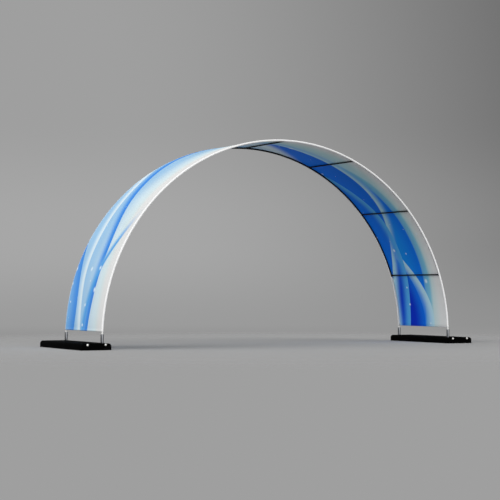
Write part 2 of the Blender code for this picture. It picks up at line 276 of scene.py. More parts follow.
def printed_knit():
    """Polyester stretch knit, printed by dye sublimation.

    The dye sits in the yarn, so the print is as matt as the cloth. Its filament gives a faint sheen at
    grazing angles, and the loops show close up as fine columns of slanted stitches.
    """
    material, tree = new_material("dye_printed_polyester_knit", {
        "Base Color": srgb(CLOTH_WHITE), "Roughness": 0.62, "Specular IOR Level": 0.04,
        "Sheen Weight": 0.015, "Sheen Roughness": 0.45})
    place = add(tree, "ShaderNodeUVMap", {"uv_map": "cloth"})["UV"]
    split = add(tree, "ShaderNodeSeparateXYZ", {}, {"Vector": place})
    along, across = split["X"], split["Y"]

    colour = srgb(MARGIN_GREY)
    for wave in PRINT_WAVES:
        colour = print_wave(tree, wave, along, across, colour)
    colour = print_lights(tree, place, colour)
    margin = add(tree, "ShaderNodeMapRange", SMOOTH, {
        "Value": across, "From Min": MARGIN_START, "From Max": MARGIN_END})[0]
    colour = add(tree, "ShaderNodeMix", COLOUR_MIX, {
        SHARE: margin, UNDER: srgb(MARGIN_GREY), OVER: colour})[MIXED]
    from_middle = add(tree, "ShaderNodeMath", {"operation": "ABSOLUTE"}, {0: across})[0]
    bare = add(tree, "ShaderNodeMapRange", SMOOTH, {
        "Value": from_middle, "From Min": HALF_SPACING - PRINT_EDGE, "From Max": HALF_SPACING})[0]
    colour = add(tree, "ShaderNodeMix", COLOUR_MIX, {
        SHARE: bare, UNDER: colour, OVER: srgb(CLOTH_WHITE)})[MIXED]

    column = add(tree, "ShaderNodeMath", {"operation": "DIVIDE"}, {0: across, 1: LOOP_WIDTH})[0]
    slant = add(tree, "ShaderNodeMath", {"operation": "PINGPONG"}, {0: column, 1: 0.5})[0]
    row = add(tree, "ShaderNodeMath", {"operation": "MULTIPLY_ADD"}, {
        0: along, 1: 1 / LOOP_HEIGHT, 2: slant})[0]
    turn = add(tree, "ShaderNodeMath", {"operation": "MULTIPLY"}, {0: row, 1: math.tau})[0]
    loop = add(tree, "ShaderNodeMath", {"operation": "SINE"}, {0: turn})[0]
    relief = add(tree, "ShaderNodeMath", {"operation": "MULTIPLY_ADD"}, {
        0: loop, 1: LOOP_SWELL, 2: slant})[0]
    bumped = add(tree, "ShaderNodeBump", {}, {
        "Height": relief, "Distance": LOOP_RELIEF, "Strength": 0.3})[0]

    # Ink takes a little less between the loops, and drifts a little along the roll
    gap = add(tree, "ShaderNodeMapRange", {}, {
        "Value": relief, "From Min": -LOOP_SWELL, "From Max": GAP_TOP,
        "To Min": GAP_PALENESS, "To Max": 0.0})[0]
    colour = add(tree, "ShaderNodeMix", COLOUR_MIX, {
        SHARE: gap, UNDER: colour, OVER: srgb("#DDE6EA")})[MIXED]
    drift = add(tree, "ShaderNodeTexNoise", {"noise_dimensions": "2D"}, {
        "Vector": place, "Scale": 1 / INK_DRIFT, "Detail": 3.0})["Fac"]
    value = add(tree, "ShaderNodeMapRange", {}, {"Value": drift, "To Min": 0.965, "To Max": 1.035})[0]
    colour = add(tree, "ShaderNodeHueSaturation", {}, {"Value": value, "Color": colour})[0]
    rough = add(tree, "ShaderNodeMapRange", {}, {"Value": drift, "To Min": 0.58, "To Max": 0.66})[0]
    feed_shader(tree, {"Base Color": colour, "Roughness": rough, "Normal": bumped})
    return material


THREAD_TWIST = 0.00111      # the thread's twist repeats over about this length


def sewing_thread():
    """Spun polyester thread: dull white, with a fuzzy twist that breaks up its highlight."""
    material, tree = new_material("spun_polyester_thread", {
        "Base Color": srgb("#ECECEA"), "Roughness": 0.75, "Specular IOR Level": 0.3, "Sheen Weight": 0.2})
    place = add(tree, "ShaderNodeTexCoord")["Object"]
    fuzz = add(tree, "ShaderNodeTexNoise", {}, {
        "Vector": place, "Scale": 1 / THREAD_TWIST, "Detail": 2.0})["Fac"]
    colour = add(tree, "ShaderNodeMix", COLOUR_MIX, {
        SHARE: fuzz, UNDER: srgb("#DFE1E2"), OVER: srgb("#F6F6F4")})[MIXED]
    bumped = add(tree, "ShaderNodeBump", {}, {"Height": fuzz, "Distance": 0.0002, "Strength": 0.6})[0]
    feed_shader(tree, {"Base Color": colour, "Normal": bumped})
    return material


TAPE_RIB = 0.0025           # real ribs are about 1 mm apart: drawn coarser, so that they show close up


def woven_tape():
    """Woven polyester webbing: dull, and ribbed across its length.

    It is black, but white in the lengths below the lowest bars.
    """
    material, tree = new_material("woven_polyester_webbing", {
        "Base Color": srgb("#0E0F11"), "Roughness": 0.7, "Specular IOR Level": 0.2, "Sheen Weight": 0.1})
    place = add(tree, "ShaderNodeUVMap", {"uv_map": "cloth"})["UV"]
    split = add(tree, "ShaderNodeSeparateXYZ", {}, {"Vector": place})
    crown = HOOP_RADIUS * math.pi / 2
    past_crown = add(tree, "ShaderNodeMath", {"operation": "SUBTRACT"}, {0: split["X"], 1: crown})[0]
    from_crown = add(tree, "ShaderNodeMath", {"operation": "ABSOLUTE"}, {0: past_crown})[0]
    low = add(tree, "ShaderNodeMath", {"operation": "GREATER_THAN"}, {
        0: from_crown, 1: crown - HOOP_RADIUS * BAR_ANGLES[0]})[0]
    turn = add(tree, "ShaderNodeMath", {"operation": "MULTIPLY"}, {
        0: split["X"], 1: math.tau / TAPE_RIB})[0]
    rib = add(tree, "ShaderNodeMath", {"operation": "SINE"}, {0: turn})[0]
    warp_turn = add(tree, "ShaderNodeMath", {"operation": "MULTIPLY"}, {
        0: split["Y"], 1: math.tau / TAPE_RIB})[0]
    warp = add(tree, "ShaderNodeMath", {"operation": "SINE"}, {0: warp_turn})[0]
    weave = add(tree, "ShaderNodeMath", {"operation": "MULTIPLY_ADD"}, {0: rib, 1: warp, 2: rib})[0]
    # The weave's raised threads are lighter and the hollows between them darker: painted light and shade on
    # the weave
    weave_light_and_shade = add(tree, "ShaderNodeMapRange", {}, {"Value": weave, "From Min": -2.0, "From Max": 2.0})[0]
    colour = add(tree, "ShaderNodeMix", COLOUR_MIX, {
        SHARE: weave_light_and_shade, UNDER: srgb("#050607"), OVER: srgb("#101214")})[MIXED]
    colour = add(tree, "ShaderNodeMix", COLOUR_MIX, {
        SHARE: low, UNDER: colour, OVER: srgb("#EDEDEB")})[MIXED]
    bumped = add(tree, "ShaderNodeBump", {}, {"Height": weave, "Distance": 0.0002, "Strength": 0.7})[0]
    feed_shader(tree, {"Base Color": colour, "Normal": bumped})
    return material


COAT_DRIFT = 0.1667         # the powder's thickness drifts over about this length


def powder_coat(name, thin, thick, roughness, shine, lump, relief):
    """Powder coat baked on steel: an even satin skin that reflects softly through its orange peel.

    The colour goes from thin, where the powder ran thin, to thick. shine is how strongly the skin reflects,
    lump the width of the peel's lumps and relief their height.
    """
    material, tree = new_material(name, {
        "Base Color": srgb(thick), "Roughness": roughness, "IOR": 1.5, "Specular IOR Level": shine})
    place = add(tree, "ShaderNodeTexCoord")["Object"]
    peel = add(tree, "ShaderNodeTexNoise", {}, {
        "Vector": place, "Scale": 1 / lump, "Detail": 2.0})["Fac"]
    bumped = add(tree, "ShaderNodeBump", {}, {"Height": peel, "Distance": relief, "Strength": 0.8})[0]
    coat = add(tree, "ShaderNodeTexNoise", {}, {
        "Vector": place, "Scale": 1 / COAT_DRIFT, "Detail": 4.0})["Fac"]
    colour = add(tree, "ShaderNodeMix", COLOUR_MIX, {
        SHARE: coat, UNDER: srgb(thin), OVER: srgb(thick)})[MIXED]
    rough = add(tree, "ShaderNodeMapRange", {}, {
        "Value": coat, "To Min": roughness * 0.85, "To Max": roughness * 1.2})[0]
    feed_shader(tree, {"Base Color": colour, "Roughness": rough, "Normal": bumped})
    return material


LATHE_PITCH = 0.001963      # real rings are about 0.2 mm apart: drawn coarser, so that they show close up
RINGS_PER_SCALE = 20 / math.tau         # a Wave texture of scale 1 has this many rings a metre
SMEAR_WIDTH = 0.0333


def chrome_plate():
    """Polished chrome on turned steel, under a thin film from use.

    It is a near mirror, so it shows the dark room beside the bright studio lights. The film takes some of
    the light, and there are faint rings from the lathe and wiping smears.
    """
    material, tree = new_material("chrome_plated_turned_steel", {
        "Base Color": srgb("#8B8D91"), "Metallic": 1.0, "Roughness": 0.14})
    place = add(tree, "ShaderNodeTexCoord")["Object"]
    rings = add(tree, "ShaderNodeTexWave", {"wave_type": "BANDS", "bands_direction": "Z"}, {
        "Vector": place, "Scale": 1 / LATHE_PITCH / RINGS_PER_SCALE, "Distortion": 0.4})["Fac"]
    bumped = add(tree, "ShaderNodeBump", {}, {"Height": rings, "Distance": 0.00001, "Strength": 0.5})[0]
    smear = add(tree, "ShaderNodeTexNoise", {}, {
        "Vector": place, "Scale": 1 / SMEAR_WIDTH, "Detail": 5.0})["Fac"]
    rough = add(tree, "ShaderNodeMapRange", {}, {"Value": smear, "To Min": 0.08, "To Max": 0.22})[0]
    feed_shader(tree, {"Roughness": rough, "Normal": bumped})
    return material


FLAKE_CLOUD = 0.00833       # the flakes lie denser and thinner over about this length


def zinc_flake():
    """Zinc flake coat on cast bolt heads: pale silver, part bright flakes and part white binder.

    The binder scatters light, so the whole dome shows pale, and the flakes put a soft highlight on it.
    """
    material, tree = new_material("zinc_flake_coated_steel", {
        "Base Color": srgb("#F6F5F1"), "Metallic": 0.4, "Roughness": 0.3})
    place = add(tree, "ShaderNodeTexCoord")["Object"]
    cloud = add(tree, "ShaderNodeTexNoise", {}, {
        "Vector": place, "Scale": 1 / FLAKE_CLOUD, "Detail": 4.0})["Fac"]
    colour = add(tree, "ShaderNodeMix", COLOUR_MIX, {
        SHARE: cloud, UNDER: srgb("#EFEEEA"), OVER: srgb("#FCFBF7")})[MIXED]
    rough = add(tree, "ShaderNodeMapRange", {}, {"Value": cloud, "To Min": 0.24, "To Max": 0.36})[0]
    bumped = add(tree, "ShaderNodeBump", {}, {"Height": cloud, "Distance": 0.0001, "Strength": 0.4})[0]
    feed_shader(tree, {"Base Color": colour, "Roughness": rough, "Normal": bumped})
    return material


BASE_GRAIN = 0.0022         # real mould grain is about 1 mm: drawn coarser, so that it shows close up
RUB_WIDTH = 0.0714
RUB_LENGTH = 0.3333


def moulded_shell():
    """Rotationally moulded polyethylene: deep black and dull, with mould grain and light rub marks."""
    material, tree = new_material("black_moulded_polyethylene", {
        "Base Color": srgb("#030303"), "Roughness": 0.85, "IOR": 1.51, "Specular IOR Level": 0.02})
    place = add(tree, "ShaderNodeTexCoord")["Object"]
    grain = add(tree, "ShaderNodeTexVoronoi", {"feature": "SMOOTH_F1"}, {
        "Vector": place, "Scale": 1 / BASE_GRAIN, "Smoothness": 0.6})["Distance"]
    bumped = add(tree, "ShaderNodeBump", {}, {"Height": grain, "Distance": 0.0003, "Strength": 0.5})[0]
    stretched = add(tree, "ShaderNodeMapping", {"vector_type": "POINT"}, {
        "Vector": place, "Scale": (1 / RUB_WIDTH, 1 / RUB_LENGTH, 1 / RUB_WIDTH)})[0]
    rubs = add(tree, "ShaderNodeTexNoise", {}, {
        "Vector": stretched, "Scale": 1.0, "Detail": 8.0})["Fac"]
    rubbed = add(tree, "ShaderNodeMapRange", SMOOTH, {
        "Value": rubs, "From Min": 0.55, "From Max": 0.8})[0]
    colour = add(tree, "ShaderNodeMix", COLOUR_MIX, {
        SHARE: rubbed, UNDER: srgb("#030303"), OVER: srgb("#131315")})[MIXED]
    rough = add(tree, "ShaderNodeMapRange", {}, {"Value": rubs, "To Min": 0.75, "To Max": 0.92})[0]
    feed_shader(tree, {"Base Color": colour, "Roughness": rough, "Normal": bumped})
    return material


# Geometry

def link(name, mesh, material=None):
    """A new object in the scene."""
    item = bpy.data.objects.new(name, mesh)
    scene.collection.objects.link(item)
    if material is not None:
        mesh.materials.append(material)
    return item


def mesh_from(bm, name, smooth_angle=35):
    """A mesh that is smooth but for edges that turn by more than an angle in degrees."""
    mesh = bpy.data.meshes.new(name)
    bm.to_mesh(mesh)
    bm.free()
    mesh.shade_smooth()
    mesh.set_sharp_from_angle(angle=math.radians(smooth_angle))
    return mesh


def plain_mesh(item, name):
    """The evaluated mesh of an object, as a new plain mesh."""
    bpy.context.view_layer.update()
    mesh = bpy.data.meshes.new_from_object(item.evaluated_get(bpy.context.evaluated_depsgraph_get()))
    mesh.name = name
    return mesh


def thicken(sheet, thickness):
    """Gives a sheet its thickness, half to each side."""
    solidify = sheet.modifiers.new("thickness", "SOLIDIFY")
    solidify.thickness = thickness
    solidify.offset = 0.0
    return sheet


def on_arch(angle, radius, y=0.0):
    """A point at an angle in radians up from the right springing."""
    return Vector((radius * math.cos(angle), y, SPRING_HEIGHT + radius * math.sin(angle)))


def bar_angle(name):
    """How far round the arch a cross bar stands, in radians."""
    low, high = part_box(name)
    return math.atan2((low.z + high.z) / 2 - SPRING_HEIGHT, (low.x + high.x) / 2)


BAR_ANGLES = [bar_angle(name) for name in BARS]
HEM_ANGLE = math.asin(HEM_HEIGHT / (HOOP_RADIUS + CASING_RADIUS))


def bay_sag(angle):
    """How far the cloth draws in: nothing over a bar, most midway between two."""
    stops = [0.0, *BAR_ANGLES, math.pi]
    for start, end in zip(stops, stops[1:]):
        if start <= angle <= end:
            return BAY_SAG * math.sin(math.pi * (angle - start) / (end - start)) ** 2
    return 0.0


def cover_profile():
    """The cover's section from casing edge to casing edge.

    Each of its points is (y, how far outward, share of the draw-in, place across the flat cloth).
    """
    casing = []
    for step in range(CASING_STEPS + 1):
        degrees = CASING_END - CASING_SWEEP * step / CASING_STEPS
        turn = math.radians(degrees)
        y = HALF_SPACING + CASING_RADIUS * math.cos(turn)
        developed = HALF_SPACING + CASING_RADIUS * math.radians(degrees - CASING_START)
        casing.append((y, -CASING_RADIUS * math.sin(turn), developed))
    front = [(-y, outward, 0.0, -developed) for y, outward, developed in casing]
    rear = [(y, outward, 0.0, developed) for y, outward, developed in reversed(casing)]
    panel = []
    for column in range(1, PANEL_COLUMNS):
        across = -math.cos(math.pi * column / PANEL_COLUMNS)
        y = across * HALF_SPACING
        panel.append((y, CASING_RADIUS, 1 - across ** 2, y))
    return front + panel + rear


def cover_rows():
    """The angles of the cover's rows, two of them close together at each hem band's edge."""
    low, high = HEM_ANGLE, math.pi - HEM_ANGLE
    band = HEM_BAND / HOOP_RADIUS
    step = HEM_STEP / HOOP_RADIUS
    inner_low, inner_high = low + band, high - band
    count = round((inner_high - inner_low) * HOOP_RADIUS / ROW_PITCH)
    inner = [inner_low + (inner_high - inner_low) * row / count for row in range(count + 1)]
    return [low, low + band / 2, inner_low - step, *inner, inner_high + step, high - band / 2, high]


def pucker(angle, y):
    """Small gathers that run in from each casing's seam."""
    from_seam = HALF_SPACING - abs(y)
    along = angle * HOOP_RADIUS
    ripple = sum(height * math.sin(math.tau * along / length + phase)
                 for height, length, phase in PUCKER_WAVES)
    rise = min(1.0, from_seam / PUCKER_RISE)
    return PUCKER * ripple * rise * math.exp(-from_seam / PUCKER_REACH)


def make_cover(material):
    """Panel and casings as one sheet. Its UV map holds metres along the arch and across the flat cloth."""
    profile, rows = cover_profile(), cover_rows()
    band_low = rows[0] + HEM_BAND / HOOP_RADIUS
    band_high = rows[-1] - HEM_BAND / HOOP_RADIUS
    bm = bmesh.new()
    bmesh.ops.create_grid(bm, x_segments=len(profile) - 1, y_segments=len(rows) - 1, size=0.5)
    layer = bm.loops.layers.uv.new("cloth")
    for vert in bm.verts:
        column = round((vert.co.x + 0.5) * (len(profile) - 1))
        row = round((vert.co.y + 0.5) * (len(rows) - 1))
        y, outward, share, developed = profile[column]
        angle = rows[row]
        for loop in vert.link_loops:
            loop[layer].uv = (angle * HOOP_RADIUS, developed)
        radius = HOOP_RADIUS + outward - share * bay_sag(angle)
        if abs(y) < HALF_SPACING:
            radius += pucker(angle, y)
            if angle < band_low or angle > band_high:
                radius += HEM_PLY
        vert.co = on_arch(angle, radius, y)
    return thicken(link("printed_cover", mesh_from(bm, "printed_cover", 60), material), CLOTH_THICKNESS)


def size_tree(name, sizes):
    """A geometry tree with a named input for each size, and its sockets by name."""
    tree = bpy.data.node_groups.new(name, "GeometryNodeTree")
    tree.interface.new_socket("Geometry", in_out="INPUT", socket_type="NodeSocketGeometry")
    tree.interface.new_socket("Geometry", in_out="OUTPUT", socket_type="NodeSocketGeometry")
    for label, value in sizes.items():
        kind = label if label in ("Material", "Object") else type(value).__name__.capitalize()
        tree.interface.new_socket(label, in_out="INPUT", socket_type=f"NodeSocket{kind}")
    return tree, add(tree, "NodeGroupInput")


def end_tree(tree, instances, material):
    """Ends a tree: its instances made real, with their material."""
    real = add(tree, "GeometryNodeRealizeInstances", {}, {0: instances})[0]
    shaded = add(tree, "GeometryNodeSetShadeSmooth", {}, {0: real})[0]
    coated = add(tree, "GeometryNodeSetMaterial", {}, {"Geometry": shaded, "Material": material})[0]
    add(tree, "NodeGroupOutput", {}, {0: coated})


def grow(name, tree, guide_mesh, sizes, smooth_angle=35):
    """Runs a tree on a guide with its sizes, and keeps the result as a plain mesh."""
    guide = link(f"{name}_guide", guide_mesh)
    modifier = guide.modifiers.new("grow", "NODES")
    modifier.node_group = tree
    for item in tree.interface.items_tree:
        if item.in_out == "INPUT" and item.name in sizes:
            modifier[item.identifier] = sizes[item.name]
    mesh = plain_mesh(guide, name)
    bpy.data.objects.remove(guide)
    mesh.set_sharp_from_angle(angle=math.radians(smooth_angle))
    return link(name, mesh)


def points_with_turns(name, places):
    """A mesh of loose points, each with the turn that its copy gets."""
    mesh = bpy.data.meshes.new(name)
    mesh.from_pydata([tuple(place) for place, _ in places], [], [])
    turns = mesh.attributes.new("turn", "FLOAT_VECTOR", "POINT")
    for item, (_, turn) in zip(turns.data, places):
        item.vector = turn
    return mesh


def place_copies(tree, points, shape):
    """Copies of a shape on a guide's points, each turned as its point says."""
    turn = add(tree, "GeometryNodeInputNamedAttribute", {"data_type": "FLOAT_VECTOR"}, {
        "Name": "turn"})[0]
    rotation = add(tree, "FunctionNodeEulerToRotation", {}, {0: turn})[0]
    return add(tree, "GeometryNodeInstanceOnPoints", {}, {
        "Points": points, "Instance": shape, "Rotation": rotation})[0]


def hoop_tree(sizes):
    """Half hoops on a guide's points: a straight foot and a quarter circle, swept by a round section."""
    tree, inputs = size_tree("half_hoops", sizes)
    whole = add(tree, "ShaderNodeMath", {"operation": "MULTIPLY_ADD"}, {
        0: inputs["Hoop Radius"], 1: math.pi / 2, 2: inputs["Foot"]})[0]
    length = add(tree, "ShaderNodeMath", {"operation": "MULTIPLY_ADD"}, {
        0: inputs["Crown Gap"], 1: -0.5, 2: whole})[0]
    line = add(tree, "GeometryNodeCurvePrimitiveLine", {}, {
        "Start": (0.0, 0.0, 0.0), "End": (0.0, 0.0, 1.0)})[0]
    steps = add(tree, "GeometryNodeResampleCurve", {}, {"Curve": line, "Count": inputs["Steps"]})[0]
    share = add(tree, "GeometryNodeSplineParameter")["Factor"]
    travelled = add(tree, "ShaderNodeMath", {"operation": "MULTIPLY"}, {0: share, 1: length})[0]
    past_foot = add(tree, "ShaderNodeMath", {"operation": "SUBTRACT"}, {
        0: travelled, 1: inputs["Foot"]})[0]
    bent = add(tree, "ShaderNodeMath", {"operation": "MAXIMUM"}, {0: past_foot, 1: 0.0})[0]
    angle = add(tree, "ShaderNodeMath", {"operation": "DIVIDE"}, {0: bent, 1: inputs["Hoop Radius"]})[0]
    drop = add(tree, "ShaderNodeMath", {"operation": "MINIMUM"}, {0: past_foot, 1: 0.0})[0]
    cosine = add(tree, "ShaderNodeMath", {"operation": "COSINE"}, {0: angle})[0]
    across = add(tree, "ShaderNodeMath", {"operation": "MULTIPLY"}, {
        0: cosine, 1: inputs["Hoop Radius"]})[0]
    sine = add(tree, "ShaderNodeMath", {"operation": "SINE"}, {0: angle})[0]
    up = add(tree, "ShaderNodeMath", {"operation": "MULTIPLY_ADD"}, {
        0: sine, 1: inputs["Hoop Radius"], 2: drop})[0]
    place = add(tree, "ShaderNodeCombineXYZ", {}, {"X": across, "Z": up})[0]
    route = add(tree, "GeometryNodeSetPosition", {}, {"Geometry": steps, "Position": place})[0]
    section = add(tree, "GeometryNodeCurvePrimitiveCircle", {"mode": "RADIUS"}, {
        "Resolution": inputs["Sides"], "Radius": inputs["Tube Radius"]})[0]
    tube = add(tree, "GeometryNodeCurveToMesh", {}, {
        "Curve": route, "Profile Curve": section, "Fill Caps": True})[0]
    end_tree(tree, place_copies(tree, inputs["Geometry"], tube), inputs["Material"])
    return tree


def copies_tree(sizes):
    """Copies of one made piece on a guide's points."""
    tree, inputs = size_tree("placed_copies", sizes)
    unit = add(tree, "GeometryNodeObjectInfo", {"transform_space": "ORIGINAL"}, {
        "Object": inputs["Object"]})
    end_tree(tree, place_copies(tree, inputs["Geometry"], unit["Geometry"]), inputs["Material"])
    return tree


def stitch_tree(sizes):
    """Stitches a set pitch apart along a guide's lines, each lying along its line."""
    tree, inputs = size_tree("stitches_on_lines", sizes)
    curve = add(tree, "GeometryNodeMeshToCurve", {}, {0: inputs["Geometry"]})[0]
    spaced = add(tree, "GeometryNodeResampleCurve", {"mode": "LENGTH"}, {
        "Curve": curve, "Length": inputs["Pitch"]})[0]
    tangent = add(tree, "GeometryNodeInputTangent")[0]
    lie = add(tree, "FunctionNodeAlignRotationToVector", {"axis": "Z"}, {"Vector": tangent})[0]
    thread = add(tree, "GeometryNodeMeshCylinder", {}, {
        "Vertices": inputs["Sides"], "Radius": inputs["Thread Radius"], "Depth": inputs["Stitch"]})["Mesh"]
    copies = add(tree, "GeometryNodeInstanceOnPoints", {}, {
        "Points": spaced, "Instance": thread, "Rotation": lie})[0]
    end_tree(tree, copies, inputs["Material"])
    return tree


def make_hoops(material):
    sizes = {"Hoop Radius": HOOP_RADIUS, "Tube Radius": TUBE_RADIUS, "Foot": HOOP_FOOT,
             "Crown Gap": FIT_GAP, "Steps": 150, "Sides": 32, "Material": material}
    centres = [(0.0, end * HALF_SPACING, SPRING_HEIGHT) for end in (-1, 1)]
    places = [(centre, (0.0, 0.0, turn)) for centre in centres for turn in (0.0, math.pi)]
    return grow("hoop_tubes", hoop_tree(sizes), points_with_turns("hoop_guide", places), sizes)


def bar_unit():
    """A cross bar along Y at the origin, with its end blocks hollowed to hug the hoop tubes."""
    length = 2 * (HALF_SPACING - TUBE_RADIUS - BLOCK_DEPTH / 2)
    bm = bmesh.new()
    bmesh.ops.create_cone(bm, cap_ends=True, segments=28, radius1=BAR_RADIUS, radius2=BAR_RADIUS,
                          depth=length)
    bmesh.ops.rotate(bm, verts=bm.verts, matrix=Matrix.Rotation(math.pi / 2, 3, "X"))
    bar = link("bar_unit", mesh_from(bm, "bar_unit"))
    helpers = []
    for end in (-1, 1):
        bm = bmesh.new()
        bmesh.ops.create_cube(bm, size=1.0)
        bmesh.ops.scale(bm, vec=(BLOCK_ACROSS, BLOCK_DEPTH, BLOCK_ALONG), verts=bm.verts)
        bmesh.ops.bevel(bm, geom=bm.edges[:], offset=BLOCK_EDGE, segments=4, profile=0.5, affect="EDGES")
        reach = HALF_SPACING - TUBE_RADIUS + BLOCK_HUG - BLOCK_DEPTH / 2
        bmesh.ops.translate(bm, verts=bm.verts, vec=(BAR_RADIUS - BLOCK_ACROSS / 2, end * reach, 0.0))
        block = link("block_helper", mesh_from(bm, "block_helper"))
        bm = bmesh.new()
        bmesh.ops.create_cone(bm, cap_ends=True, segments=48, radius1=TUBE_RADIUS + FIT_GAP,
                              radius2=TUBE_RADIUS + FIT_GAP, depth=3 * BLOCK_ALONG)
        bmesh.ops.translate(bm, verts=bm.verts, vec=(-BAR_RISE, end * HALF_SPACING, 0.0))
        tube = link("tube_helper", mesh_from(bm, "tube_helper"))
        for helper, operation in ((block, "UNION"), (tube, "DIFFERENCE")):
            modifier = bar.modifiers.new(operation, "BOOLEAN")
            modifier.operation = operation
            modifier.object = helper
            helpers.append(helper)
    unit = link("bar_shape", plain_mesh(bar, "bar_shape"))
    for helper in [bar, *helpers]:
        bpy.data.objects.remove(helper)
    return unit


def make_copies(name, unit, places, material):
    """One piece of copies of a unit, each at its place and turn. The unit is removed."""
    sizes = {"Object": unit, "Material": material}
    piece = grow(name, copies_tree(sizes), points_with_turns(f"{name}_guide", places), sizes)
    bpy.data.objects.remove(unit)
    return piece


def turned_unit(name, profile, segments):
    """A solid turned about Z from a profile that runs down its outer side."""
    bm = bmesh.new()
    verts = [bm.verts.new((radius, 0.0, height)) for radius, height in profile]
    edges = [bm.edges.new(pair) for pair in zip(verts, verts[1:])]
    bmesh.ops.spin(bm, geom=verts + edges, cent=(0, 0, 0), axis=(0, 0, 1), angle=math.tau, steps=segments,
                   use_duplicate=False)
    bmesh.ops.remove_doubles(bm, verts=bm.verts, dist=0.00001)
    bmesh.ops.recalc_face_normals(bm, faces=bm.faces)
    return link(name, mesh_from(bm, name))


def rounded_rim(centre_radius, centre_height, start, end):
    """Points round a post's rounded rim, from start to end in degrees, for its turned profile."""
    turns = [math.radians(start + (end - start) * step / RIM_STEPS) for step in range(RIM_STEPS + 1)]
    return [(centre_radius + POST_RIM * math.cos(turn), centre_height + POST_RIM * math.sin(turn))
            for turn in turns]


def make_posts(material):
    height = POST_HIGH.z - POST_LOW.z
    outer = (POST_HIGH.x - POST_LOW.x) / 2
    profile = [(0.0, SOCKET_FLOOR), (SOCKET_RADIUS, SOCKET_FLOOR)]
    profile += rounded_rim(SOCKET_RADIUS + POST_RIM, height - POST_RIM, 180, 90)
    profile += rounded_rim(outer - POST_RIM, height - POST_RIM, 90, 0)
    profile += [(outer, 0.0), (0.0, 0.0)]
    places = []
    for name in POSTS:
        low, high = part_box(name)
        places.append((((low.x + high.x) / 2, (low.y + high.y) / 2, low.z), (0.0, 0.0, 0.0)))
    return make_copies("chrome_sockets", turned_unit("post_unit", profile, 64), places, material)


def make_bolts(material):
    low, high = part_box(BOLTS[0])
    radius, rise = (high.x - low.x) / 2, high.y - low.y
    turns = [math.pi / 2 * (1 - step / DOME_STEPS) for step in range(1, DOME_STEPS + 1)]
    dome = [(radius * math.cos(turn) ** DOME_FULLNESS,
             BOLT_FLANGE + (rise - BOLT_FLANGE) * math.sin(turn) ** DOME_FULLNESS) for turn in turns]
    profile = [(0.0, rise), *dome, (radius, 0.0), (0.0, 0.0)]
    places = []
    for name in BOLTS:
        low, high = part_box(name)
        end = 1 if low.y > 0 else -1
        foot = low.y if end > 0 else high.y
        place = ((low.x + high.x) / 2, foot, (low.z + high.z) / 2)
        places.append((place, (-end * math.pi / 2, 0.0, 0.0)))
    return make_copies("domed_bolts", turned_unit("bolt_unit", profile, 40), places, material)


def make_bars(material):
    places = []
    for angle in BAR_ANGLES:
        places.append((on_arch(angle, HOOP_RADIUS + BAR_RISE), (0.0, -angle, 0.0)))
    return make_copies("cross_bars", bar_unit(), places, material)


def tape_limits():
    """Start and end angle of each length of tape, between the bars' end blocks."""
    stop = (BLOCK_ALONG / 2 + TAPE_BAR_CLEARANCE) / HOOP_RADIUS
    stops = [HEM_ANGLE - stop, *BAR_ANGLES, math.pi - HEM_ANGLE + stop]
    return [(start + stop, end - stop) for start, end in zip(stops, stops[1:])]


def make_tape(end, material):
    """The closing tape along one hoop, in its lengths between the bars."""
    outer = HOOP_RADIUS + BAR_RISE + BAR_RADIUS
    radii = [outer - TAPE_WIDTH * column / TAPE_COLUMNS for column in range(TAPE_COLUMNS + 1)]
    y = (1 if end == "rear" else -1) * (HALF_SPACING - TUBE_RADIUS - FIT_GAP - TAPE_THICKNESS / 2)
    bm = bmesh.new()
    layer = bm.loops.layers.uv.new("cloth")
    for start, finish in tape_limits():
        count = round((finish - start) * HOOP_RADIUS / TAPE_ROW_PITCH)
        rows = []
        for step in range(count + 1):
            angle = start + (finish - start) * step / count
            rows.append([(bm.verts.new(on_arch(angle, radius, y)), angle * HOOP_RADIUS, radius)
                         for radius in radii])
        for first, second in zip(rows, rows[1:]):
            for a, b, c, d in zip(first, first[1:], second[1:], second):
                face = bm.faces.new([corner[0] for corner in (a, b, c, d)])
                for loop, corner in zip(face.loops, (a, b, c, d)):
                    loop[layer].uv = corner[1:]
    bmesh.ops.recalc_face_normals(bm, faces=bm.faces)
    name = f"closing_tape_{end}"
    return thicken(link(name, mesh_from(bm, name), material), TAPE_THICKNESS)


def line_mesh(name, lines):
    """A mesh of polylines for stitches to follow."""
    verts, edges = [], []
    for line in lines:
        first = len(verts)
        verts += [tuple(point) for point in line]
        edges += [(index, index + 1) for index in range(first, len(verts) - 1)]
    mesh = bpy.data.meshes.new(name)
    mesh.from_pydata(verts, edges, [])
    return mesh


def cover_face(angle, y):
    """A point on the outer face of the cover's panel."""
    sag = (1 - (y / HALF_SPACING) ** 2) * bay_sag(angle)
    radius = HOOP_RADIUS + CASING_RADIUS - sag + pucker(angle, y) + CLOTH_THICKNESS / 2
    return on_arch(angle, radius, y)


def make_stitching(material):
    """Lockstitch rows beside each casing and above each hem."""
    low, high = HEM_ANGLE, math.pi - HEM_ANGLE
    angles = [low + (high - low) * step / SEAM_STEPS for step in range(SEAM_STEPS + 1)]
    reach = HALF_SPACING - SEAM_INSET
    lines = [[cover_face(angle, y) for angle in angles] for y in (-reach, reach)]
    ys = [(-1 + 2 * step / HEM_SEAM_STEPS) * reach for step in range(HEM_SEAM_STEPS + 1)]
    up_band = HEM_SEAM_SHARE * HEM_BAND / HOOP_RADIUS
    for angle in (low + up_band, high - up_band):
        ply = on_arch(angle, HEM_PLY) - on_arch(angle, 0.0)
        lines.append([cover_face(angle, y) + ply for y in ys])
    sizes = {"Pitch": STITCH_PITCH, "Stitch": STITCH_LENGTH, "Thread Radius": STITCH_RADIUS,
             "Sides": 5, "Material": material}
    return grow("cover_stitching", stitch_tree(sizes), line_mesh("stitch_guide", lines), sizes)


